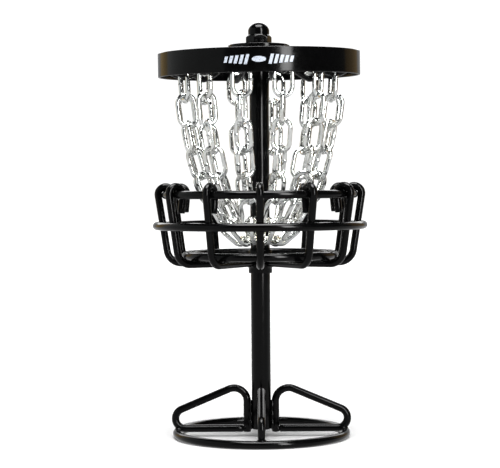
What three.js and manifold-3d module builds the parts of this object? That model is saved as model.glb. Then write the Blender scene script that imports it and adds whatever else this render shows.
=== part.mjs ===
// Disc golf basket, small desktop size: a powder-coated wire basket and chain hanger on a pole.
// Millimetres. +Z is up, the pole axis is the Z axis and the base ring stands on z = 0.
// Azimuth 0 is the front (-Y) and grows toward +X. Most parts are drawn as (radius, height)
// profiles in one upright plane and then turned round the pole axis.
import * as THREE from "three";
import { mergeVertices } from "three/addons/utils/BufferGeometryUtils.js";
import Module from "manifold-3d";

const wasm = await Module();
wasm.setup();

// ---- driving dimensions, mm ----
const FULL_TURN = Math.PI * 2;
const RAD = Math.PI / 180;
const RING_STEPS = 44;
const SEAT_GAP = 0.25;

const POLE = { radius: 4.75, bottom: 3.7, shoulder: 190.1, studRadius: 3.0, studTop: 200.0 };
const BASE_RING = { radius: 41.6, height: 2.0, wire: 4.0 };
const BASE_RING_FORM = { sides: 8, flatFoot: true };
const LEG = {
  count: 4,
  wire: 3.7,
  innerRadius: 6.95,
  wireEnd: 2.3,
  bottomHeight: 4.0,
  topCorner: 27.2,
  outerCorner: 62.1,
  seamRadius: 9.05,
  innerBend: 6.5,
  outerBend: 5.0,
};
const RIB = {
  count: 12,
  wire: 3.6,
  innerEnd: 7.1,
  floorHeight: 85.7,
  cornerRadius: 44.76,
  cornerBend: 7.0,
  uprightTop: [49.905, 118.82],
  hookCentre: [46.2, 119.4],
  hookBend: 3.75,
  hookStart: -8.9,
  hookSweep: 195.4,
  hookTail: 8.7,
};
const RIM_RING = { radius: 46.2, height: 119.05, wire: 4.0 };
const GUARD_RING = { radius: 50.6, height: 104.0, wire: 4.0 };
const FLOOR_RING = { radius: 36.4, height: 89.5, wire: 4.0 };
const COLLAR = { bore: 5.05, neckRadius: 5.8, hubRadius: 6.85, bottom: 80.5, hubBottom: 83.4, hubTop: 88.0, top: 92.0 };
// The band is welded on slightly out of level: it dips to the front and rises to the right.
const BAND = { radius: 49.45, sheet: 1.0, bottom: 176.8, top: 188.5, edge: 0.3, dip: 1.3, rise: 0.5 };
const SPOKE = {
  wire: 2.8,
  points: [[8.6, 188.65], [16, 188.65], [30, 179.6], [38.3, 176.8], [47.55, 180.9]],
  bends: [0, 5, 10, 4, 0],
};
const DISC = { bore: 3.3, radius: 15.0, bottom: 190.15, top: 192.2, edge: 0.4 };
const WASHER = { bore: 3.3, radius: 7.4, bottom: 192.3, top: 192.8 };
const NUT = {
  bore: 3.3,
  boreTop: 200.5,
  bottom: 192.9,
  cornerTop: 195.9,
  chamferTop: 197.1,
  acrossCorners: 12.9,
  hexTurn: 10,
  domeRadius: 5.2,
  domeStart: 199.2,
  top: 203.2,
};
const CHAIN = {
  count: 12,
  firstAzimuth: 17.5,
  hookPoint: [38.3, 179.3],
  pitch: 13.0,
  linkLength: 17.4,
  linkWidth: 10.6,
  wire: 2.2,
  crownBite: 0.1,
  slopes: [86.5, 82.3, 78.5, 73.5, 67.5, 58.5, 40],
  wholeTwist: 450,
  firstTurns: [-9, 17, 12, -8, 6, 5, -5, 10, -5, 10, -9, 10],
};
const CHAIN_RING = { radius: 9.15, height: 97.65, wire: 2.4 };

const COLOURS = { coat: 0x141414, zinc: 0xc8cccf, nut: 0x1c1c1c };

// ---- building blocks ----

// A wire route in the (radius, height) plane, given as ready stations so that every bend keeps its true shape.
class WireRoute extends THREE.Curve {
  constructor(stations) {
    super();
    this.stations = stations;
  }

  getPoint(t, target = new THREE.Vector3()) {
    const place = t * (this.stations.length - 1);
    const index = Math.min(Math.floor(place + 1e-6), this.stations.length - 2);
    return target.lerpVectors(this.stations[index], this.stations[index + 1], place - index);
  }

  getPointAt(t, target) {
    return this.getPoint(t, target);
  }

  getTangentAt(t, target = new THREE.Vector3()) {
    const last = this.stations.length - 1;
    const index = Math.round(t * last);
    const before = this.stations[Math.max(index - 1, 0)];
    const here = this.stations[index];
    const after = this.stations[Math.min(index + 1, last)];
    const arriving = here.clone().sub(before).normalize();
    const leaving = after.clone().sub(here).normalize();
    return target.copy(arriving).add(leaving).normalize();
  }
}

const planePoint = ([r, z]) => new THREE.Vector3(r, 0, z);

// Stations along a circular arc in the (radius, height) plane, angles in degrees from +r toward +z.
function arcStations([r, z], bend, from, sweep, steps) {
  return Array.from({ length: steps + 1 }, (_, i) => {
    const angle = (from + (sweep * i) / steps) * RAD;
    return planePoint([r + bend * Math.cos(angle), z + bend * Math.sin(angle)]);
  });
}

// Rounds the corners of a path of (radius, height) points with the given bend radii.
function roundedStations(points, bends, stepAngle = 24) {
  const stations = [];
  points.forEach((point, i) => {
    const here = planePoint(point);
    if (!bends[i]) {
      stations.push(here);
      return;
    }
    const back = planePoint(points[i - 1]).sub(here).normalize();
    const ahead = planePoint(points[i + 1]).sub(here).normalize();
    const turn = Math.PI - back.angleTo(ahead);
    const reach = bends[i] * Math.tan(turn / 2);
    const centre = back.clone().add(ahead).normalize().multiplyScalar(bends[i] / Math.cos(turn / 2)).add(here);
    const start = here.clone().addScaledVector(back, reach).sub(centre);
    const end = here.clone().addScaledVector(ahead, reach).sub(centre);
    const steps = Math.max(2, Math.ceil(turn / (stepAngle * RAD)));
    const axis = start.clone().cross(end).normalize();
    for (let k = 0; k <= steps; k++)
      stations.push(start.clone().applyAxisAngle(axis, (turn * k) / steps).add(centre));
  });
  return stations;
}

function polygonShape(radius, sides, turn = 0) {
  const corners = Array.from({ length: sides }, (_, i) => {
    const angle = turn + (FULL_TURN * i) / sides;
    return new THREE.Vector2(radius * Math.cos(angle), radius * Math.sin(angle));
  });
  return new THREE.Shape(corners);
}

// A round wire swept along ready stations.
function wireAlong(stations, wire, sides) {
  return new THREE.ExtrudeGeometry(polygonShape(wire / 2, sides), {
    extrudePath: new WireRoute(stations),
    steps: stations.length - 1,
    bevelEnabled: false,
  });
}

// A surface of revolution round the pole axis from (radius, height) points that close on themselves.
function turned(profile, steps = RING_STEPS) {
  const points = profile.map(([r, z]) => new THREE.Vector2(r, z));
  const closed = profile[0][0] > 0 ? [...points, points[0].clone()] : points;
  return new THREE.LatheGeometry(closed, steps).rotateX(Math.PI / 2);
}

// A wire bent into a ring. With a flat foot the section stands on an edge instead of a corner.
function ring({ radius, height, wire }, { sides = 6, steps = RING_STEPS, flatFoot = false } = {}) {
  const corner = flatFoot ? wire / 2 / Math.cos(Math.PI / sides) : wire / 2;
  const turn = flatFoot ? Math.PI / sides : 0;
  const section = Array.from({ length: sides }, (_, i) => {
    const angle = turn + (FULL_TURN * i) / sides;
    return [radius + corner * Math.cos(angle), height + corner * Math.sin(angle)];
  });
  return turned(section, steps);
}

function solidOf(geometry) {
  const bare = new THREE.BufferGeometry();
  bare.setAttribute("position", geometry.getAttribute("position").clone());
  bare.setIndex(geometry.index ? geometry.index.clone() : null);
  const merged = mergeVertices(bare, 1e-4);
  return new wasm.Manifold(
    new wasm.Mesh({
      numProp: 3,
      vertProperties: merged.attributes.position.array,
      triVerts: new Uint32Array(merged.index.array),
    }),
  );
}

// Presses seats into a wire where rings are welded against it, with a small gap all round.
function seated(geometry, rings, form = {}) {
  let solid = solidOf(geometry);
  for (const size of rings) {
    const room = ring({ ...size, wire: size.wire + 2 * SEAT_GAP }, form);
    solid = solid.subtract(solidOf(room));
  }
  return geometryOf(solid);
}

function geometryOf(solid) {
  const mesh = solid.getMesh();
  const geometry = new THREE.BufferGeometry();
  geometry.setAttribute("position", new THREE.BufferAttribute(mesh.vertProperties, 3));
  geometry.setIndex(new THREE.BufferAttribute(mesh.triVerts, 1));
  geometry.computeVertexNormals();
  return geometry;
}

// Turns a part drawn in the +X upright plane to an azimuth counted from the front (-Y) toward +X.
function toAzimuth(geometry, degrees) {
  return geometry.rotateZ((degrees - 90) * RAD);
}

const root = new THREE.Group();
root.name = "disc_golf_basket";

function add(name, geometry, colour) {
  const metalness = colour === COLOURS.coat ? 0.1 : 0.9;
  const material = new THREE.MeshStandardMaterial({ color: colour, metalness, roughness: 0.35 });
  const mesh = new THREE.Mesh(geometry, material);
  mesh.name = name;
  root.add(mesh);
}

// ---- stand: base ring, four welded loop legs, pole ----

function baseRing() {
  return ring(BASE_RING, BASE_RING_FORM);
}

// One leg is a wire bent into a closed triangle whose two ends meet low down beside the pole.
function leg() {
  const points = [
    [LEG.innerRadius, LEG.wireEnd],
    [LEG.innerRadius, LEG.topCorner],
    [LEG.outerCorner, LEG.bottomHeight],
    [LEG.seamRadius, LEG.bottomHeight],
  ];
  return wireAlong(roundedStations(points, [0, LEG.innerBend, LEG.outerBend, 0], 20), LEG.wire, 8);
}

function pole() {
  const chamfer = 0.6;
  return turned(
    [
      [0, POLE.bottom],
      [POLE.radius - chamfer, POLE.bottom],
      [POLE.radius, POLE.bottom + chamfer],
      [POLE.radius, POLE.shoulder],
      [POLE.studRadius, POLE.shoulder],
      [POLE.studRadius, POLE.studTop - chamfer],
      [POLE.studRadius - chamfer, POLE.studTop],
      [0, POLE.studTop],
    ],
    24,
  );
}

// ---- basket: collar, twelve ribs, three rings ----

function basketCollar() {
  return turned(
    [
      [COLLAR.bore, COLLAR.bottom],
      [COLLAR.neckRadius, COLLAR.bottom],
      [COLLAR.neckRadius, COLLAR.hubBottom],
      [COLLAR.hubRadius, COLLAR.hubBottom],
      [COLLAR.hubRadius, COLLAR.hubTop],
      [COLLAR.neckRadius, COLLAR.hubTop],
      [COLLAR.neckRadius, COLLAR.top],
      [COLLAR.bore, COLLAR.top],
    ],
    24,
  );
}

// One rib runs out under the floor ring, up the side and over the rim ring in a hook.
function rib() {
  const floorAndSide = roundedStations(
    [[RIB.innerEnd, RIB.floorHeight], [RIB.cornerRadius, RIB.floorHeight], RIB.uprightTop],
    [0, RIB.cornerBend, 0],
    21,
  );
  const hook = arcStations(RIB.hookCentre, RIB.hookBend, RIB.hookStart, RIB.hookSweep, 7);
  const tailAngle = (RIB.hookStart + RIB.hookSweep + 90) * RAD;
  const tail = hook.at(-1).clone();
  tail.x += RIB.hookTail * Math.cos(tailAngle);
  tail.z += RIB.hookTail * Math.sin(tailAngle);
  return wireAlong([...floorAndSide, ...hook.slice(1), tail], RIB.wire, 6);
}

// ---- hanger: spokes, centre disc, sheet band, washer and nut ----

// One spoke runs out from under the disc, dips into a valley that holds a chain, and rises to the band.
function topSpoke(lift) {
  const [outEnd, endHeight] = SPOKE.points.at(-1);
  const points = [...SPOKE.points.slice(0, -1), [outEnd, endHeight + lift]];
  return wireAlong(roundedStations(points, SPOKE.bends, 22), SPOKE.wire, 6);
}

function topDisc() {
  return turned(
    [
      [DISC.bore, DISC.bottom],
      [DISC.radius - DISC.edge, DISC.bottom],
      [DISC.radius, DISC.bottom + DISC.edge],
      [DISC.radius, DISC.top - DISC.edge],
      [DISC.radius - DISC.edge, DISC.top],
      [DISC.bore, DISC.top],
    ],
    32,
  );
}

function band() {
  const inner = BAND.radius - BAND.sheet;
  const middle = (BAND.bottom + BAND.top) / 2;
  const level = turned([
    [inner, BAND.bottom],
    [BAND.radius - BAND.edge, BAND.bottom],
    [BAND.radius, BAND.bottom + BAND.edge],
    [BAND.radius, BAND.top - BAND.edge],
    [BAND.radius - BAND.edge, BAND.top],
    [inner, BAND.top],
  ]);
  level.translate(0, 0, -middle);
  level.rotateX(BAND.dip * RAD);
  level.rotateY(-BAND.rise * RAD);
  return level.translate(0, 0, middle);
}

// How much higher the band sits at one azimuth than it would if it were level.
function bandLift(azimuth) {
  const toRight = BAND.radius * Math.sin(azimuth * RAD);
  const toBack = -BAND.radius * Math.cos(azimuth * RAD);
  return toRight * Math.tan(BAND.rise * RAD) + toBack * Math.tan(BAND.dip * RAD);
}

function washer() {
  return turned(
    [
      [WASHER.bore, WASHER.bottom],
      [WASHER.radius, WASHER.bottom],
      [WASHER.radius, WASHER.top],
      [WASHER.bore, WASHER.top],
    ],
    24,
  );
}

// A dome nut: hexagon below, turned dome above, one blind bore for the stud.
function acornNut() {
  const hexagon = new THREE.ExtrudeGeometry(polygonShape(NUT.acrossCorners / 2, 6, NUT.hexTurn * RAD), {
    depth: NUT.chamferTop - NUT.bottom,
    bevelEnabled: false,
  }).translate(0, 0, NUT.bottom);
  const cornerRadius = NUT.acrossCorners / 2 + 0.05;
  const chamfer = turned(
    [
      [0, NUT.bottom - 1],
      [cornerRadius, NUT.bottom - 1],
      [cornerRadius, NUT.cornerTop],
      [NUT.domeRadius, NUT.chamferTop],
      [0, NUT.chamferTop],
    ],
    36,
  );
  const dome = [[0, NUT.bottom + 0.5], [NUT.domeRadius, NUT.bottom + 0.5]];
  for (let i = 0; i < 5; i++) {
    const angle = (i * 90 * RAD) / 5;
    const rise = NUT.top - NUT.domeStart;
    dome.push([NUT.domeRadius * Math.cos(angle), NUT.domeStart + rise * Math.sin(angle)]);
  }
  dome.push([0, NUT.top]);
  const bore = turned(
    [[0, NUT.bottom - 1], [NUT.bore, NUT.bottom - 1], [NUT.bore, NUT.boreTop], [0, NUT.boreTop]],
    20,
  );
  const body = solidOf(hexagon).intersect(solidOf(chamfer));
  return geometryOf(body.add(solidOf(turned(dome, 20))).subtract(solidOf(bore)));
}

// ---- chains and their collector ring ----

// Outline of a link: two half circles joined by straight sides, long axis along +Y.
function linkOutline(length, width) {
  const steps = 4;
  const radius = width / 2;
  const points = [];
  for (const side of [0, 1])
    for (let i = 0; i <= steps; i++) {
      const angle = side * Math.PI + (Math.PI * i) / steps;
      const shift = (side ? -1 : 1) * (length / 2 - radius);
      points.push(new THREE.Vector2(radius * Math.cos(angle), shift + radius * Math.sin(angle)));
    }
  return points;
}

function link() {
  const holeLength = CHAIN.linkLength - 2 * (CHAIN.wire + CHAIN.crownBite);
  const shape = new THREE.Shape(linkOutline(CHAIN.linkLength, CHAIN.linkWidth));
  shape.holes.push(new THREE.Path(linkOutline(holeLength, CHAIN.linkWidth - 2 * CHAIN.wire)));
  return new THREE.ExtrudeGeometry(shape, { depth: CHAIN.wire, bevelEnabled: false }).translate(
    0,
    0,
    -CHAIN.wire / 2,
  );
}

// Seven links follow the hanging curve from the spoke valley to the collector ring. The first hangs
// about across its spoke, off by its own small turn, and the links between share the rest of the
// twist, so that the last always stands across the collector ring.
function chain(firstTurn) {
  let solid = null;
  let joint = planePoint(CHAIN.hookPoint);
  const twistPerLink = (CHAIN.wholeTwist - firstTurn) / (CHAIN.slopes.length - 1);
  CHAIN.slopes.forEach((slope, i) => {
    const up = new THREE.Vector3(Math.cos(slope * RAD), 0, Math.sin(slope * RAD));
    const across = new THREE.Vector3(0, 1, 0).applyAxisAngle(up, (firstTurn + twistPerLink * i) * RAD);
    const facing = across.clone().cross(up);
    const centre = joint.clone().addScaledVector(up, -CHAIN.pitch / 2);
    const place = new THREE.Matrix4().makeBasis(across, up, facing).setPosition(centre);
    const placed = solidOf(link().applyMatrix4(place));
    solid = solid ? solid.add(placed) : placed;
    joint = joint.clone().addScaledVector(up, -CHAIN.pitch);
  });
  return geometryOf(solid);
}

// ---- assembly ----

const LEG_NAMES = ["front", "right", "back", "left"];

add("base_ring", baseRing(), COLOURS.coat);
LEG_NAMES.forEach((side, i) => {
  const loop = toAzimuth(leg(), (i * 360) / LEG.count);
  add(`leg_${side}`, seated(loop, [BASE_RING], BASE_RING_FORM), COLOURS.coat);
});
add("pole", pole(), COLOURS.coat);

const numbered = (name, i) => `${name}_${String(i + 1).padStart(2, "0")}`;

add("basket_collar", basketCollar(), COLOURS.coat);
for (let i = 0; i < RIB.count; i++) {
  const upright = toAzimuth(rib(), (i * 360) / RIB.count);
  add(numbered("rib", i), seated(upright, [RIM_RING, GUARD_RING, FLOOR_RING]), COLOURS.coat);
}
add("rim_ring", ring(RIM_RING), COLOURS.coat);
add("guard_ring", ring(GUARD_RING), COLOURS.coat);
add("floor_ring", ring(FLOOR_RING), COLOURS.coat);

add("top_disc", topDisc(), COLOURS.coat);
add("band", band(), COLOURS.coat);
add("washer", washer(), COLOURS.coat);
add("acorn_nut", acornNut(), COLOURS.nut);

for (let i = 0; i < CHAIN.count; i++) {
  const azimuth = CHAIN.firstAzimuth + (i * 360) / CHAIN.count;
  add(numbered("top_spoke", i), toAzimuth(topSpoke(bandLift(azimuth)), azimuth), COLOURS.coat);
  add(numbered("chain", i), toAzimuth(chain(CHAIN.firstTurns[i]), azimuth), COLOURS.zinc);
}
add("chain_ring", ring(CHAIN_RING, { steps: 20 }), COLOURS.zinc);

export default root;
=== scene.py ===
"""Disc golf basket, small desktop size: the looks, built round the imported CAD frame.

Everything is in metres in the CAD frame: +Z up, the pole axis on Z, azimuth 0 at the front (-Y)
and growing toward +X. Each coarse CAD solid is replaced by a smooth piece of the same size.
"""
import math
import random

import bpy
from mathutils import Matrix, Quaternion, Vector, noise


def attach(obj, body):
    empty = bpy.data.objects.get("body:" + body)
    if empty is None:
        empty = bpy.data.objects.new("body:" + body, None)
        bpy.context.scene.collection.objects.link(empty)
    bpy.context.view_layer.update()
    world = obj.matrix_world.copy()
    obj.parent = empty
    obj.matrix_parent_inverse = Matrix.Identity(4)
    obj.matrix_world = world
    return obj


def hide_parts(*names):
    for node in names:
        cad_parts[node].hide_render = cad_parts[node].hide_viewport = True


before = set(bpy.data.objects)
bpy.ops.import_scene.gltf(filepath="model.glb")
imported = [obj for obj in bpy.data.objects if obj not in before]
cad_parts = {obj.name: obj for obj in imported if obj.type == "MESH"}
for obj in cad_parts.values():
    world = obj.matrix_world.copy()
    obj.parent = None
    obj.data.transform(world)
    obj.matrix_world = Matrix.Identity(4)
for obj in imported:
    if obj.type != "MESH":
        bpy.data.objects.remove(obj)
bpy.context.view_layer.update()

MM = 0.001
RAD = math.pi / 180

# ---- sizes of the real thing, mm, as in the CAD source, but with the spokes run on to the band ----
# The pole's core is a needle-thin hollow that keeps the turned mesh open along its axis.
POLE = {"core": 0.05, "radius": 4.75, "bottom": 3.7, "shoulder": 190.1, "stud": 3.0, "stud_top": 200.0}
BASE_RING = {"radius": 41.6, "height": 2.0, "wire": 4.0}
LEG = {
    "wire": 3.7,
    "points": [(6.95, 2.3), (6.95, 27.2), (62.1, 4.0), (9.05, 4.0)],
    "bends": [0, 6.5, 5.0, 0],
}
RIB_WIRE = 3.6
RIB_POINTS = [(7.1, 85.7), (44.76, 85.7), (49.905, 118.82)]
RIB_BENDS = [0, 7.0, 0]
HOOK = {"centre": (46.2, 119.4), "bend": 3.75, "start": -8.9, "sweep": 195.4, "tail": 8.7}
RIM_RING = {"radius": 46.2, "height": 119.05, "wire": 4.0}
GUARD_RING = {"radius": 50.6, "height": 104.0, "wire": 4.0}
FLOOR_RING = {"radius": 36.4, "height": 89.5, "wire": 4.0}
COLLAR = {
    "bore": 5.05,
    "neck": 5.8,
    "hub": 6.85,
    "bottom": 80.5,
    "hub_bottom": 83.4,
    "hub_top": 88.0,
    "top": 92.0,
}
BAND = {"radius": 49.45, "sheet": 1.0, "bottom": 176.8, "top": 188.5, "dip": 1.3, "rise": 0.5}
SPOKE_WIRE = 2.8
SPOKE_POINTS = [(8.6, 188.65), (16, 188.65), (30, 179.6), (38.3, 176.8), (47.9, 181.1)]
SPOKE_BENDS = [0, 5, 10, 4, 0]
DISC = {"bore": 3.3, "radius": 15.0, "bottom": 190.15, "top": 192.2}
WASHER = {"bore": 3.3, "radius": 7.4, "bottom": 192.3, "top": 192.8}
NUT = {
    "bore": 3.3,
    "bore_top": 200.5,
    "bottom": 192.9,
    "corner_top": 195.9,
    "chamfer_top": 197.1,
    "hex_turn": 10,
    "corner": 6.45,
    "dome": 5.2,
    "dome_start": 199.2,
    "top": 203.2,
}
# The badge printed on the band: an oval between two rows of bars that get shorter outward.
BADGE = {
    "oval": (3.3, 1.35),
    "bars": 5,
    "first": 5.7,
    "gap": 2.45,
    "bar": (1.5, 4.6),
    "shorter": 0.45,
    "lean": 0.14,
}
INK_SINK = -0.03
INK_LIFT = 0.04
CHAIN = {
    "first": 17.5,
    "hook": (38.3, 179.3),
    "pitch": 13.0,
    "length": 17.4,
    "width": 10.6,
    "wire": 2.2,
    "slopes": [86.5, 82.3, 78.5, 73.5, 67.5, 58.5, 40],
    "whole_twist": 450,
    "first_turns": [-9, 17, 12, -8, 6, 5, -5, 10, -5, 10, -9, 10],
}
CHAIN_RING = {"radius": 9.15, "height": 97.65, "wire": 2.4, "steps": 96, "weld_step": 60, "weld_spread": 2.2}
# A link's butt weld: stations along the straight side as shares of it, and how much each swells.
WELD_STATIONS = [0.2, 0.38, 0.44, 0.48, 0.5, 0.52, 0.56, 0.62, 0.8]
WELD_SWELL = {0.44: 1.03, 0.48: 1.12, 0.5: 1.16, 0.52: 1.12, 0.56: 1.03}
BEND_STEPS = 12
LINK_SIDES = 14
RIB_COUNT = 12
CHAIN_COUNT = 12
LEG_SIDES = ["front", "right", "back", "left"]
# Weld beads: (radius, height, then half the size outward, sideways and upright).
LEG_WELDS = [
    (5.3, 6.2, 1.5, 2.2, 3.0),
    (5.3, 10.4, 1.4, 2.0, 3.4),
    (5.3, 15.0, 1.3, 1.8, 3.2),
    (40.6, 3.7, 2.1, 2.3, 1.3),
    (7.9, 3.8, 1.7, 1.9, 1.7),
]
RIB_WELDS = [
    (49.2, 104.0, 1.0, 2.3, 2.0),
    (36.4, 87.4, 2.1, 2.1, 0.8),
    (46.2, 120.9, 1.6, 2.0, 0.5),
    (7.2, 85.7, 1.5, 2.0, 2.2),
]
DISC_WELD = (12.5, 189.7, 2.6, 1.6, 0.6)
BAND_WELD = (48.0, 181.0, 0.8, 1.9, 1.6)

# ---- colours ----
COAT_BLACK = (0.0009, 0.0009, 0.0010)
ZINC_DARK = (0.56, 0.575, 0.58)
ZINC_PALE = (0.74, 0.755, 0.755)
ZINC_YELLOW = (0.70, 0.62, 0.38)
WELD_GREY = (0.22, 0.22, 0.23)
INK_PALE = (0.62, 0.68, 0.78)
INK_WORN = (0.05, 0.055, 0.06)
PAPER_DARK = (0.87, 0.87, 0.87)
PAPER_PALE = (0.89, 0.89, 0.89)
WHITE = (1, 1, 1)

# ---- camera and light ----
CAMERA = {"distance": 810.0, "height": 121.3, "lens": 118.8, "down": 1.53, "yaw": 0.352, "roll": 0.42}
SUN = {"energy": 3.6, "angle": 0.7, "lean": 14}
SKY = {"fill": 0.55, "seen": 1.1, "mirrored": 0.03}
FLOOR_HALF = 6.0
# Curved cards: name, start and end azimuth, low and high edge (m), colour, strength, radius (m).
CARDS = [
    ("card_back", 146, 214, -0.05, 0.7, WHITE, 0.5, 1.0),
    ("card_back_high", 142, 218, 0.36, 0.95, WHITE, 4.0, 0.95),
    ("card_warm_right", 112, 146, -0.05, 0.7, (1, 0.7, 0.36), 0.55, 1.0),
    ("card_right", 46, 112, 0.0, 0.9, WHITE, 0.12, 1.0),
    ("card_warm_left", 214, 236, -0.05, 0.7, (1, 0.72, 0.34), 0.9, 1.0),
    ("card_left", 236, 322, -0.2, 0.9, (0.96, 1, 0.99), 0.85, 1.0),
    ("card_front", 322, 380, 0.0, 0.9, (0.95, 0.97, 1), 0.14, 1.0),
    ("card_strip", 24, 36, -0.1, 1.0, WHITE, 30.0, 1.0),
]
# Level cards: name, left, right, front and back edge, height (m), strength.
LIDS = [
    ("card_floor", -1.0, 1.0, -1.0, 1.0, -0.001, 0.9),
    ("card_overhead", -0.45, 0.45, -0.72, 0.12, 1.3, 31.0),
]


# ---- mesh helpers ----


def turn_to(azimuth):
    """Rotation that takes the +X upright plane to an azimuth counted from the front."""
    return Matrix.Rotation((azimuth - 90) * RAD, 4, "Z")


def make_object(name, verts, faces, smooth_angle=50):
    """A smooth-shaded object from vertices in mm, with edges sharper than the angle kept crisp."""
    mesh = bpy.data.meshes.new(name)
    mesh.from_pydata([tuple(Vector(v) * MM) for v in verts], [], faces)
    mesh.validate()
    mesh.update()
    for polygon in mesh.polygons:
        polygon.use_smooth = True
    mesh.set_sharp_from_angle(angle=smooth_angle * RAD)
    obj = bpy.data.objects.new(name, mesh)
    bpy.context.scene.collection.objects.link(obj)
    return obj


def plane_point(point):
    """A (radius, height) pair as a point in the upright plane."""
    return Vector((point[0], 0, point[1]))


def arc(centre, bend, start, sweep, steps):
    """Points on an arc in the (radius, height) plane, angles from +r toward +z."""
    found = []
    for i in range(steps + 1):
        angle = (start + sweep * i / steps) * RAD
        found.append(plane_point((centre[0] + bend * math.cos(angle), centre[1] + bend * math.sin(angle))))
    return found


def rounded(points, bends, step=6):
    """A path of (radius, height) points with its corners rounded."""
    route = []
    for i, point in enumerate(points):
        here = plane_point(point)
        if not bends[i]:
            route.append(here)
            continue
        back = (plane_point(points[i - 1]) - here).normalized()
        ahead = (plane_point(points[i + 1]) - here).normalized()
        turn = math.pi - back.angle(ahead)
        reach = bends[i] * math.tan(turn / 2)
        centre = here + (back + ahead).normalized() * (bends[i] / math.cos(turn / 2))
        start = here + back * reach - centre
        axis = start.cross(here + ahead * reach - centre).normalized()
        steps = max(3, math.ceil(turn / (step * RAD)))
        for k in range(steps + 1):
            route.append(centre + Quaternion(axis, turn * k / steps) @ start)
    return route


def divided(route, longest=4.0):
    """The same route with long straight runs divided, so that surface detail has vertices to use."""
    out = [route[0]]
    for a, b in zip(route, route[1:]):
        parts = max(1, math.ceil((b - a).length / longest))
        for k in range(1, parts + 1):
            out.append(a.lerp(b, k / parts))
    return out


def sweep(route, radius, sides=18, closed=False, swell=None):
    """Vertices and faces of round wire along a route. swell(i) scales the radius at station i."""
    count = len(route)
    tangents = []
    for i in range(count):
        before = route[(i - 1) % count] if closed or i else route[i]
        after = route[(i + 1) % count] if closed or i < count - 1 else route[i]
        tangents.append((after - before).normalized())
    normal = tangents[0].orthogonal().normalized()
    rings = []
    for i in range(count):
        if i:
            normal = tangents[i - 1].rotation_difference(tangents[i]) @ normal
        normal = (normal - tangents[i] * normal.dot(tangents[i])).normalized()
        rings.append((route[i], tangents[i], normal, radius * (swell(i) if swell else 1)))
    if not closed:
        chamfer = radius * 0.16
        first, last = rings[0], rings[-1]
        rings[0] = (first[0] + first[1] * chamfer, first[1], first[2], radius)
        rings[-1] = (last[0] - last[1] * chamfer, last[1], last[2], radius)
        rings.insert(0, (first[0], first[1], first[2], radius - chamfer))
        rings.append((last[0], last[1], last[2], radius - chamfer))
    verts = []
    for centre, tangent, side, size in rings:
        up = tangent.cross(side)
        for k in range(sides):
            angle = 2 * math.pi * k / sides
            verts.append(centre + (side * math.cos(angle) + up * math.sin(angle)) * size)
    faces = []
    total = len(rings)
    for i in range(total if closed else total - 1):
        a, b = i * sides, ((i + 1) % total) * sides
        for k in range(sides):
            n = (k + 1) % sides
            faces.append((a + k, a + n, b + n, b + k))
    if not closed:
        faces.append(tuple(range(sides))[::-1])
        faces.append(tuple((total - 1) * sides + k for k in range(sides)))
    return verts, faces


def ring_route(radius, height, steps):
    """Points of a level circle round the pole axis, counted from the front."""
    angles = [2 * math.pi * i / steps for i in range(steps)]
    return [Vector((radius * math.sin(a), -radius * math.cos(a), height)) for a in angles]


def wire_ring(size, steps, sides, swell=None):
    """Round wire bent into a level ring."""
    route = ring_route(size["radius"], size["height"], steps)
    return sweep(route, size["wire"] / 2, sides, True, swell)


def turned(profile, steps=96):
    """Surface of revolution from a closed (radius, height) profile drawn anticlockwise."""
    verts = []
    faces = []
    count = len(profile)
    for i in range(steps):
        angle = 2 * math.pi * i / steps
        for r, z in profile:
            verts.append(Vector((r * math.cos(angle), r * math.sin(angle), z)))
    for i in range(steps):
        a, b = i * count, ((i + 1) % steps) * count
        for k in range(count):
            n = (k + 1) % count
            faces.append((a + k, b + k, b + n, a + n))
    return verts, faces


def rounded_corners(corners, size, steps=3):
    """Closed (radius, height) profile with small round corners."""
    out = []
    count = len(corners)
    for i, corner in enumerate(corners):
        here = Vector(corner)
        back = Vector(corners[i - 1]) - here
        ahead = Vector(corners[(i + 1) % count]) - here
        reach = min(size, back.length * 0.45, ahead.length * 0.45)
        start = here + back.normalized() * reach
        end = here + ahead.normalized() * reach
        for k in range(steps + 1):
            t = k / steps
            out.append(tuple(start * (1 - t) ** 2 + here * 2 * t * (1 - t) + end * t * t))
    return out


def merged(parts):
    """Joins several (vertices, faces) into one."""
    verts, faces = [], []
    for part_verts, part_faces in parts:
        base = len(verts)
        verts.extend(part_verts)
        faces.extend(tuple(base + k for k in face) for face in part_faces)
    return verts, faces


def moved(part, matrix):
    """The same part in another place."""
    verts, faces = part
    return [matrix @ v for v in verts], faces


# ---- materials ----


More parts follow.
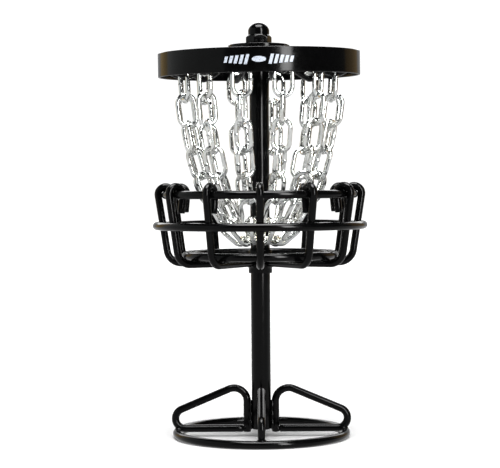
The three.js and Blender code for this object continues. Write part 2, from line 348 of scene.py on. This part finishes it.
class Nodes:
    """Short names for the few node kinds used here."""

    def __init__(self, name):
        self.material = bpy.data.materials.new(name)
        self.material.use_nodes = True
        self.tree = self.material.node_tree
        self.shader = self.tree.nodes["Principled BSDF"]
        self.place = self.add("ShaderNodeTexCoord").outputs["Object"]

    def add(self, kind, **settings):
        node = self.tree.nodes.new(kind)
        for key, value in settings.items():
            setattr(node, key, value)
        return node

    def link(self, output, socket):
        self.tree.links.new(output, socket)

    def noise(self, scale, detail=2.0, roughness=0.5):
        """Noise from 0 to 1, with scale waves to the metre."""
        node = self.add("ShaderNodeTexNoise")
        self.link(self.place, node.inputs["Vector"])
        node.inputs["Scale"].default_value = scale
        node.inputs["Detail"].default_value = detail
        node.inputs["Roughness"].default_value = roughness
        return node.outputs["Fac"]

    def spread(self, value, low, high, start=0.3, end=0.7):
        """Stretches the middle of a noise over the range from low to high."""
        node = self.add("ShaderNodeMapRange")
        self.link(value, node.inputs["Value"])
        node.inputs["From Min"].default_value = start
        node.inputs["From Max"].default_value = end
        node.inputs["To Min"].default_value = low
        node.inputs["To Max"].default_value = high
        return node.outputs["Result"]

    def blend(self, factor, colour_a, colour_b):
        """Mixes two colours, each a plain colour or the output of another node."""
        node = self.add("ShaderNodeMix", data_type="RGBA")
        self.link(factor, node.inputs[0])
        for value, socket in ((colour_a, node.inputs[6]), (colour_b, node.inputs[7])):
            if isinstance(value, bpy.types.NodeSocket):
                self.link(value, socket)
            else:
                socket.default_value = (*value, 1)
        return node.outputs[2]

    def bump(self, height, strength, distance, below=None):
        """Surface relief, laid over an earlier bump when one is given."""
        node = self.add("ShaderNodeBump")
        node.inputs["Strength"].default_value = strength
        node.inputs["Distance"].default_value = distance
        self.link(height, node.inputs["Height"])
        if below is not None:
            self.link(below, node.inputs["Normal"])
        return node.outputs["Normal"]


def powder_coat(name, gloss):
    """Gloss black powder coat: orange-peel ripple, fine pits, slightly uneven gloss."""
    made = Nodes(name)
    shader = made.shader
    dusty = tuple(c * 1.9 for c in COAT_BLACK)
    tone = made.blend(made.spread(made.noise(160, 3), 0, 1), COAT_BLACK, dusty)
    made.link(tone, shader.inputs["Base Color"])
    made.link(made.spread(made.noise(420, 3), gloss, gloss + 0.07), shader.inputs["Roughness"])
    shader.inputs["Specular IOR Level"].default_value = 0.10
    shader.inputs["IOR"].default_value = 1.5
    peel = made.bump(made.noise(650, 1.5), 0.16, 0.00006)
    pits = made.bump(made.noise(2600, 1.0), 0.10, 0.00002, below=peel)
    made.link(pits, shader.inputs["Normal"])
    return made.material


def zinc_plate(name, tint_strength):
    """Bright zinc on drawn wire: clean silver, faint cloudy patches, yellow passivate in places."""
    made = Nodes(name)
    shader = made.shader
    cloud = made.blend(made.spread(made.noise(240, 4), 0, 1), ZINC_DARK, ZINC_PALE)
    warm = made.blend(made.spread(made.noise(90, 2), 0, tint_strength), cloud, ZINC_YELLOW)
    burn = made.add("ShaderNodeAttribute", attribute_name="weld").outputs["Fac"]
    made.link(made.blend(burn, warm, WELD_GREY), shader.inputs["Base Color"])
    shader.inputs["Metallic"].default_value = 1.0
    made.link(made.spread(made.noise(500, 2), 0.05, 0.14), shader.inputs["Roughness"])
    rough = made.bump(made.noise(420, 2), 0.10, 0.00008)
    made.link(rough, shader.inputs["Normal"])
    return made.material


def printed_mark(name):
    """Pale screen-printed ink with worn patches."""
    made = Nodes(name)
    worn = made.spread(made.noise(1700, 4, 0.7), 0, 1, 0.56, 0.66)
    colour = made.blend(worn, INK_PALE, INK_WORN)
    made.link(colour, made.shader.inputs["Base Color"])
    made.link(made.spread(made.noise(500, 2), 0.35, 0.55), made.shader.inputs["Roughness"])
    return made.material


BLACK = powder_coat("black_powder_coat", 0.11)
NUT_BLACK = powder_coat("black_nut_coat", 0.08)
ZINC = zinc_plate("zinc_chain", 0.12)
ZINC_RING = zinc_plate("zinc_ring", 0.75)
INK = printed_mark("pale_print")


def finish_piece(name, part, material, body, node=None, smooth_angle=50):
    """Makes the object, puts it on its body and lets it stand for its CAD node, if it has one."""
    piece = make_object(name, *part, smooth_angle=smooth_angle)
    piece.data.materials.append(material)
    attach(piece, body)
    if node:
        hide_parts(node)
    return piece


# ---- weld beads ----


def bead(centre, across, along, lift, seed):
    """A small smooth lump of weld metal under the coat: a stretched, slightly uneven ball."""
    rings, sides = 7, 12
    along_unit, across_unit, lift_unit = (v.normalized() for v in (along, across, lift))
    verts = []
    for i in range(rings + 1):
        polar = math.pi * i / rings
        for k in range(sides if 0 < i < rings else 1):
            around = 2 * math.pi * k / sides
            flat = math.sin(polar)
            unit = Vector((flat * math.cos(around), flat * math.sin(around), math.cos(polar)))
            uneven = 1 + 0.12 * noise.noise(unit * 1.7 + Vector((seed * 3.1, seed * 1.7, 0.5)))
            verts.append(
                centre
                + (
                    across_unit * unit.x * across.length
                    + along_unit * unit.y * along.length
                    + lift_unit * unit.z * lift.length
                )
                * uneven
            )
    faces = []
    for k in range(sides):
        n = (k + 1) % sides
        faces.append((0, 1 + k, 1 + n))
        last = len(verts) - 1
        base = 1 + (rings - 2) * sides
        faces.append((last, base + n, base + k))
    for i in range(rings - 2):
        a, b = 1 + i * sides, 1 + (i + 1) * sides
        for k in range(sides):
            n = (k + 1) % sides
            faces.append((a + k, b + k, b + n, a + n))
    if across.cross(along).dot(lift) < 0:
        faces = [face[::-1] for face in faces]
    return verts, faces


def bead_row(places, azimuths):
    """Beads at (radius, height, radial half, tangential half, upright half), once at each azimuth."""
    parts = []
    for i, azimuth in enumerate(azimuths):
        spin = turn_to(azimuth)
        for j, (r, z, radial, tangential, upright) in enumerate(places):
            lump = bead(
                Vector((r, 0, z)),
                Vector((radial, 0, 0)),
                Vector((0, tangential, 0)),
                Vector((0, 0, upright)),
                i * 7 + j,
            )
            parts.append(moved(lump, spin))
    return merged(parts)


# ---- stand ----


def build_stand():
    finish_piece("base_ring_wire", wire_ring(BASE_RING, 160, 24), BLACK, "stand", "base_ring")
    route = divided(rounded(LEG["points"], LEG["bends"]))
    for i, side in enumerate(LEG_SIDES):
        leg = moved(sweep(route, LEG["wire"] / 2), turn_to(i * 90))
        finish_piece(f"leg_{side}_wire", leg, BLACK, "stand", f"leg_{side}")
    pole = rounded_corners(
        [
            (POLE["core"], POLE["bottom"]),
            (POLE["radius"], POLE["bottom"]),
            (POLE["radius"], POLE["shoulder"]),
            (POLE["stud"], POLE["shoulder"]),
            (POLE["stud"], POLE["stud_top"]),
            (POLE["core"], POLE["stud_top"]),
        ],
        0.5,
    )
    finish_piece("pole_bar", turned(pole), BLACK, "stand", "pole")
    welds = bead_row(LEG_WELDS, [i * 90 for i in range(len(LEG_SIDES))])
    finish_piece("stand_welds", welds, BLACK, "stand")


# ---- basket ----


def rib_route():
    """Out under the floor, up the side, over the rim in a hook, and down in a short tail."""
    side = rounded(RIB_POINTS, RIB_BENDS)
    hook = arc(HOOK["centre"], HOOK["bend"], HOOK["start"], HOOK["sweep"], 28)
    angle = (HOOK["start"] + HOOK["sweep"] + 90) * RAD
    tail = hook[-1] + Vector((math.cos(angle), 0, math.sin(angle))) * HOOK["tail"]
    return divided(side + hook[1:] + [tail])


def collar_profile():
    """A sleeve with a thicker hub in its middle, where the ribs are welded on."""
    corners = [
        (COLLAR["bore"], COLLAR["bottom"]),
        (COLLAR["neck"], COLLAR["bottom"]),
        (COLLAR["neck"], COLLAR["hub_bottom"]),
        (COLLAR["hub"], COLLAR["hub_bottom"]),
        (COLLAR["hub"], COLLAR["hub_top"]),
        (COLLAR["neck"], COLLAR["hub_top"]),
        (COLLAR["neck"], COLLAR["top"]),
        (COLLAR["bore"], COLLAR["top"]),
    ]
    return rounded_corners(corners, 0.5)


def build_basket():
    rib = sweep(rib_route(), RIB_WIRE / 2)
    azimuths = [i * 360 / RIB_COUNT for i in range(RIB_COUNT)]
    for i, azimuth in enumerate(azimuths):
        name = f"rib_{i + 1:02d}"
        finish_piece(f"{name}_wire", moved(rib, turn_to(azimuth)), BLACK, "stand", name)
    for name, size in (("rim_ring", RIM_RING), ("guard_ring", GUARD_RING), ("floor_ring", FLOOR_RING)):
        finish_piece(f"{name}_wire", wire_ring(size, 176, 20), BLACK, "stand", name)
    finish_piece("collar_hub", turned(collar_profile()), BLACK, "stand", "basket_collar")
    finish_piece("basket_welds", bead_row(RIB_WELDS, azimuths), BLACK, "stand")


# ---- hanger ----


def band_tilt():
    """The slight dip to the front and rise to the right that the band is welded on with."""
    middle = Matrix.Translation((0, 0, (BAND["bottom"] + BAND["top"]) / 2))
    dip = Matrix.Rotation(BAND["dip"] * RAD, 4, "X")
    rise = Matrix.Rotation(-BAND["rise"] * RAD, 4, "Y")
    return middle @ rise @ dip @ middle.inverted()


def band_lift(azimuth):
    """How much higher the tilted band sits at an azimuth than a level one would, in mm."""
    to_right = BAND["radius"] * math.sin(azimuth * RAD)
    to_back = -BAND["radius"] * math.cos(azimuth * RAD)
    return to_right * math.tan(BAND["rise"] * RAD) + to_back * math.tan(BAND["dip"] * RAD)


def band_sheet():
    """The level band, before its tilt: a thin strip of sheet bent into a ring."""
    inner = BAND["radius"] - BAND["sheet"]
    corners = [
        (inner, BAND["bottom"]),
        (BAND["radius"], BAND["bottom"]),
        (BAND["radius"], BAND["top"]),
        (inner, BAND["top"]),
    ]
    return turned(rounded_corners(corners, 0.42), 192)


def on_band(across, up, lift):
    """A point on the front of the band, across and up in mm from its middle."""
    radius = BAND["radius"] + lift
    angle = across / radius
    middle = (BAND["bottom"] + BAND["top"]) / 2
    return Vector((radius * math.sin(angle), -radius * math.cos(angle), middle + up))


def ink_layer(pairs):
    """A thin closed layer on the band over a row of point pairs, each (across, up)."""
    verts, faces = [], []
    for low, high in pairs:
        verts += [on_band(*low, INK_SINK), on_band(*high, INK_SINK)]
        verts += [on_band(*high, INK_LIFT), on_band(*low, INK_LIFT)]
    end = 4 * (len(pairs) - 1)
    for a in range(0, end, 4):
        faces += [(a + k, a + (k + 1) % 4, a + 4 + (k + 1) % 4, a + 4 + k) for k in range(4)]
    faces += [(3, 2, 1, 0), (end, end + 1, end + 2, end + 3)]
    return verts, faces


def slanted_bar(middle, width, height):
    """One bar of the badge, leaning to the right."""
    left, right = middle - width / 2, middle + width / 2
    lean = height * BADGE["lean"]
    steps = 4
    places = [left + (right - left) * i / steps for i in range(steps + 1)]
    return ink_layer([((across - lean, -height / 2), (across + lean, height / 2)) for across in places])


def flat_oval(half_width, half_height):
    """A filled oval, built as one strip from its left end to its right end."""
    pairs = []
    for i in range(1, 32):
        angle = math.pi * i / 32
        across = -half_width * math.cos(angle)
        tall = half_height * math.sin(angle)
        pairs.append(((across, -tall), (across, tall)))
    return ink_layer(pairs)


def band_mark():
    """A plain badge: a small flying disc between two rows of slanted bars."""
    parts = [flat_oval(*BADGE["oval"])]
    width, tallest = BADGE["bar"]
    for side in (-1, 1):
        for j in range(BADGE["bars"]):
            middle = side * (BADGE["first"] + BADGE["gap"] * j)
            parts.append(slanted_bar(middle, width, tallest - BADGE["shorter"] * j))
    return merged(parts)


def spoke_wire(azimuth):
    """Out from under the disc, down into the valley that holds a chain, and up to the band."""
    end_radius, end_height = SPOKE_POINTS[-1]
    points = SPOKE_POINTS[:-1] + [(end_radius, end_height + band_lift(azimuth))]
    return sweep(divided(rounded(points, SPOKE_BENDS)), SPOKE_WIRE / 2)


def round_plate(size):
    """A flat ring plate with softened edges."""
    corners = [
        (size["bore"], size["bottom"]),
        (size["radius"], size["bottom"]),
        (size["radius"], size["top"]),
        (size["bore"], size["top"]),
    ]
    return turned(rounded_corners(corners, 0.4))


def hanger_welds(azimuths):
    """Beads where each spoke meets the disc and the tilted band."""
    welds = [bead_row([DISC_WELD], azimuths)]
    radius, height, *sizes = BAND_WELD
    for azimuth in azimuths:
        welds.append(bead_row([(radius, height + band_lift(azimuth), *sizes)], [azimuth]))
    return merged(welds)


def build_hanger():
    tilt = band_tilt()
    finish_piece("band_sheet", moved(band_sheet(), tilt), BLACK, "stand", "band")
    azimuths = [CHAIN["first"] + i * 360 / CHAIN_COUNT for i in range(CHAIN_COUNT)]
    for i, azimuth in enumerate(azimuths):
        name = f"top_spoke_{i + 1:02d}"
        finish_piece(f"{name}_wire", moved(spoke_wire(azimuth), turn_to(azimuth)), BLACK, "stand", name)
    for name, size in (("top_disc", DISC), ("washer", WASHER)):
        finish_piece(f"{name}_plate", round_plate(size), BLACK, "stand", name)
    finish_piece("hanger_welds", hanger_welds(azimuths), BLACK, "stand")
    finish_piece("nut_body", nut_body(), NUT_BLACK, "stand", "acorn_nut", smooth_angle=28)
    finish_piece("band_mark", moved(band_mark(), tilt), INK, "stand")


def nut_rows(flat):
    """(height, turned radius) of the rows up the nut: foot chamfer, top chamfer, neck and dome."""
    rows = [(NUT["bottom"], flat - 0.1), (NUT["bottom"] + 0.45, NUT["corner"])]
    for i in range(9):
        z = NUT["corner_top"] + (NUT["chamfer_top"] - NUT["corner_top"]) * i / 8
        rows.append((z, NUT["corner"] + (NUT["dome"] - NUT["corner"]) * i / 8))
    rows.append((NUT["dome_start"], NUT["dome"]))
    rise = NUT["top"] - NUT["dome_start"]
    for i in range(1, 14):
        angle = 90 * RAD * i / 14
        rows.append((NUT["dome_start"] + rise * math.sin(angle), NUT["dome"] * math.cos(angle)))
    return rows


def nut_body(steps=120):
    """A dome nut: a hexagon cut down to the turned rows, with a blind bore from below."""
    flat = NUT["corner"] * math.cos(30 * RAD)
    rows = nut_rows(flat)
    verts = []
    for z, turned_radius in rows:
        for k in range(steps):
            angle = 2 * math.pi * k / steps
            hexagon = flat / math.cos((angle - NUT["hex_turn"] * RAD) % (60 * RAD) - 30 * RAD)
            radius = min(turned_radius, hexagon)
            verts.append(Vector((radius * math.cos(angle), radius * math.sin(angle), z)))
    faces = []
    for i in range(len(rows) - 1):
        a, b = i * steps, (i + 1) * steps
        for k in range(steps):
            n = (k + 1) % steps
            faces.append((a + k, a + n, b + n, b + k))
    apex = len(verts)
    verts.append(Vector((0, 0, NUT["top"])))
    top = (len(rows) - 1) * steps
    for k in range(steps):
        faces.append((top + k, top + (k + 1) % steps, apex))
    for z in (NUT["bottom"], NUT["bore_top"]):
        for k in range(steps):
            angle = 2 * math.pi * k / steps
            verts.append(Vector((NUT["bore"] * math.cos(angle), NUT["bore"] * math.sin(angle), z)))
    mouth, end = apex + 1, apex + 1 + steps
    for k in range(steps):
        n = (k + 1) % steps
        faces.append((k, mouth + k, mouth + n, n))
        faces.append((mouth + k, end + k, end + n, mouth + n))
    faces.append(tuple(end + k for k in range(steps))[::-1])
    return verts, faces


# ---- chains ----


def link_route():
    """Centre line of one link in its own plane: X across, Y along."""
    radius = (CHAIN["width"] - CHAIN["wire"]) / 2
    half = (CHAIN["length"] - CHAIN["wire"]) / 2 - radius
    route = []
    for side in (0, 1):
        shift = half if side == 0 else -half
        for i in range(BEND_STEPS + 1):
            angle = math.pi * (side + i / BEND_STEPS)
            route.append(Vector((radius * math.cos(angle), shift + radius * math.sin(angle), 0)))
        for share in WELD_STATIONS:
            y = shift * (1 - 2 * share)
            route.append(Vector((-radius if side == 0 else radius, y, 0)))
    return route


def link_swell(i):
    """How much the wire swells at a station of the link: only at the weld on the first straight side."""
    k = i - (BEND_STEPS + 1)
    if 0 <= k < len(WELD_STATIONS):
        return WELD_SWELL.get(WELD_STATIONS[k], 1.0)
    return 1.0


def link_part():
    """One link of round wire, with the share of weld colour at each of its vertices."""
    route = link_route()
    verts, faces = sweep(route, CHAIN["wire"] / 2, LINK_SIDES, True, link_swell)
    weld = []
    for i in range(len(route)):
        weld += [max(0.0, (link_swell(i) - 1.02) * 5)] * LINK_SIDES
    return verts, faces, weld


def build_chain(index):
    """Seven links hung on one spoke, each turned on from the one above and some put in reversed."""
    azimuth = CHAIN["first"] + index * 360 / CHAIN_COUNT
    spin = turn_to(azimuth)
    verts, faces, weld = link_part()
    parts = []
    marks = []
    joint = plane_point(CHAIN["hook"])
    chooser = random.Random(1200 + index)
    first_turn = CHAIN["first_turns"][index]
    twist = (CHAIN["whole_twist"] - first_turn) / (len(CHAIN["slopes"]) - 1)
    for i, slope in enumerate(CHAIN["slopes"]):
        up = Vector((math.cos(slope * RAD), 0, math.sin(slope * RAD)))
        across = Quaternion(up, (first_turn + twist * i) * RAD) @ Vector((0, 1, 0))
        if chooser.random() < 0.5:
            across = -across
        facing = across.cross(up)
        centre = joint - up * (CHAIN["pitch"] / 2)
        place = Matrix((across, up, facing)).transposed().to_4x4()
        place.translation = centre
        parts.append(moved((verts, faces), spin @ place))
        marks += weld
        joint = joint - up * CHAIN["pitch"]
    name = f"chain_{index + 1:02d}"
    piece = finish_piece(f"{name}_links", merged(parts), ZINC, name, name)
    attribute = piece.data.attributes.new("weld", "FLOAT", "POINT")
    attribute.data.foreach_set("value", marks)


def ring_swell(i):
    """The chain ring's butt weld, a smooth bump at one place."""
    away = (i - CHAIN_RING["weld_step"]) / CHAIN_RING["weld_spread"]
    return 1 + 0.14 * math.exp(-(away**2))


def build_chains():
    for index in range(CHAIN_COUNT):
        build_chain(index)
    ring = wire_ring(CHAIN_RING, CHAIN_RING["steps"], 16, ring_swell)
    finish_piece("chain_ring_wire", ring, ZINC_RING, "chain_ring", "chain_ring")


# ---- studio ----


def build_camera():
    data = bpy.data.cameras.new("camera")
    data.sensor_width = 36
    data.lens = CAMERA["lens"]
    camera = bpy.data.objects.new("camera", data)
    bpy.context.scene.collection.objects.link(camera)
    place = Matrix.Translation((0, -CAMERA["distance"] * MM, CAMERA["height"] * MM))
    yaw = Matrix.Rotation(CAMERA["yaw"] * RAD, 4, "Z")
    pitch = Matrix.Rotation((90 - CAMERA["down"]) * RAD, 4, "X")
    roll = Matrix.Rotation(-CAMERA["roll"] * RAD, 4, "Z")
    camera.matrix_world = place @ yaw @ pitch @ roll
    bpy.context.scene.camera = camera


def glow(name, colour, strength):
    """A plain emitting material."""
    material = bpy.data.materials.new(name)
    material.use_nodes = True
    tree = material.node_tree
    tree.nodes.clear()
    emission = tree.nodes.new("ShaderNodeEmission")
    emission.inputs["Color"].default_value = (*colour, 1)
    emission.inputs["Strength"].default_value = strength
    output = tree.nodes.new("ShaderNodeOutputMaterial")
    tree.links.new(emission.outputs["Emission"], output.inputs["Surface"])
    return material


def card(name, start, end, low, high, colour, strength, radius):
    """A curved light card round the object, seen only in reflections."""
    verts, faces = [], []
    steps = max(2, int(abs(end - start) / 4))
    for i in range(steps + 1):
        angle = (start + (end - start) * i / steps) * RAD
        x, y = radius * math.sin(angle), -radius * math.cos(angle)
        verts += [(x, y, low), (x, y, high)]
    for i in range(steps):
        a = 2 * i
        faces.append((a, a + 2, a + 3, a + 1))
    mesh = bpy.data.meshes.new(name)
    mesh.from_pydata(verts, [], faces)
    mesh.materials.append(glow(name, colour, strength))
    hide_card(mesh, name)


def lid(name, left, right, front, back, height, strength):
    """A flat level light card, overhead or just under the floor, seen only in reflections."""
    mesh = bpy.data.meshes.new(name)
    corners = [(left, front, height), (right, front, height), (right, back, height), (left, back, height)]
    mesh.from_pydata(corners, [], [(0, 1, 2, 3)])
    mesh.materials.append(glow(name, WHITE, strength))
    hide_card(mesh, name)


def hide_card(mesh, name):
    """Places a light card so that only reflections see it."""
    obj = bpy.data.objects.new(name, mesh)
    bpy.context.scene.collection.objects.link(obj)
    obj.visible_camera = False
    obj.visible_shadow = False
    obj.visible_diffuse = False


def build_floor():
    """A wide matt paper floor. Reflections see the floor card under it instead."""
    mesh = bpy.data.meshes.new("floor")
    corners = [(x * FLOOR_HALF, y * FLOOR_HALF, 0) for x, y in ((-1, -1), (1, -1), (1, 1), (-1, 1))]
    mesh.from_pydata(corners, [], [(0, 1, 2, 3)])
    made = Nodes("floor_paper")
    tone = made.blend(made.spread(made.noise(3, 2), 0, 1), PAPER_DARK, PAPER_PALE)
    made.link(tone, made.shader.inputs["Base Color"])
    made.shader.inputs["Roughness"].default_value = 1.0
    made.shader.inputs["Specular IOR Level"].default_value = 0.0
    mesh.materials.append(made.material)
    floor = bpy.data.objects.new("floor", mesh)
    bpy.context.scene.collection.objects.link(floor)
    floor.visible_glossy = False


def build_sky():
    """Pale for the camera and for soft fill, dark in reflections, where the cards take over."""
    world = bpy.data.worlds.new("studio")
    bpy.context.scene.world = world
    world.use_nodes = True
    tree = world.node_tree
    background = tree.nodes["Background"]
    path = tree.nodes.new("ShaderNodeLightPath")
    seen = tree.nodes.new("ShaderNodeMapRange")
    seen.inputs["To Min"].default_value = SKY["fill"]
    seen.inputs["To Max"].default_value = SKY["seen"]
    tree.links.new(path.outputs["Is Camera Ray"], seen.inputs["Value"])
    dark = tree.nodes.new("ShaderNodeMapRange")
    dark.inputs["To Max"].default_value = SKY["mirrored"]
    tree.links.new(path.outputs["Is Glossy Ray"], dark.inputs["Value"])
    tree.links.new(seen.outputs["Result"], dark.inputs["To Min"])
    tree.links.new(dark.outputs["Result"], background.inputs["Strength"])
    background.inputs["Color"].default_value = (1, 1, 1, 1)


def build_lights():
    """A soft light from above for the shadow, and the cards that the gloss and the zinc mirror."""
    sun = bpy.data.lights.new("overhead_softbox", "SUN")
    sun.energy = SUN["energy"]
    sun.angle = SUN["angle"]
    lamp = bpy.data.objects.new("overhead_softbox", sun)
    lamp.rotation_euler = (SUN["lean"] * RAD, 0, 0)
    lamp.visible_glossy = False
    bpy.context.scene.collection.objects.link(lamp)
    for numbers in CARDS:
        card(*numbers)
    for numbers in LIDS:
        lid(*numbers)


build_camera()
build_stand()
build_basket()
build_hanger()
build_chains()
build_floor()
build_sky()
build_lights()
bpy.context.scene.view_settings.view_transform = "Standard"
bpy.context.scene.view_settings.look = "None"
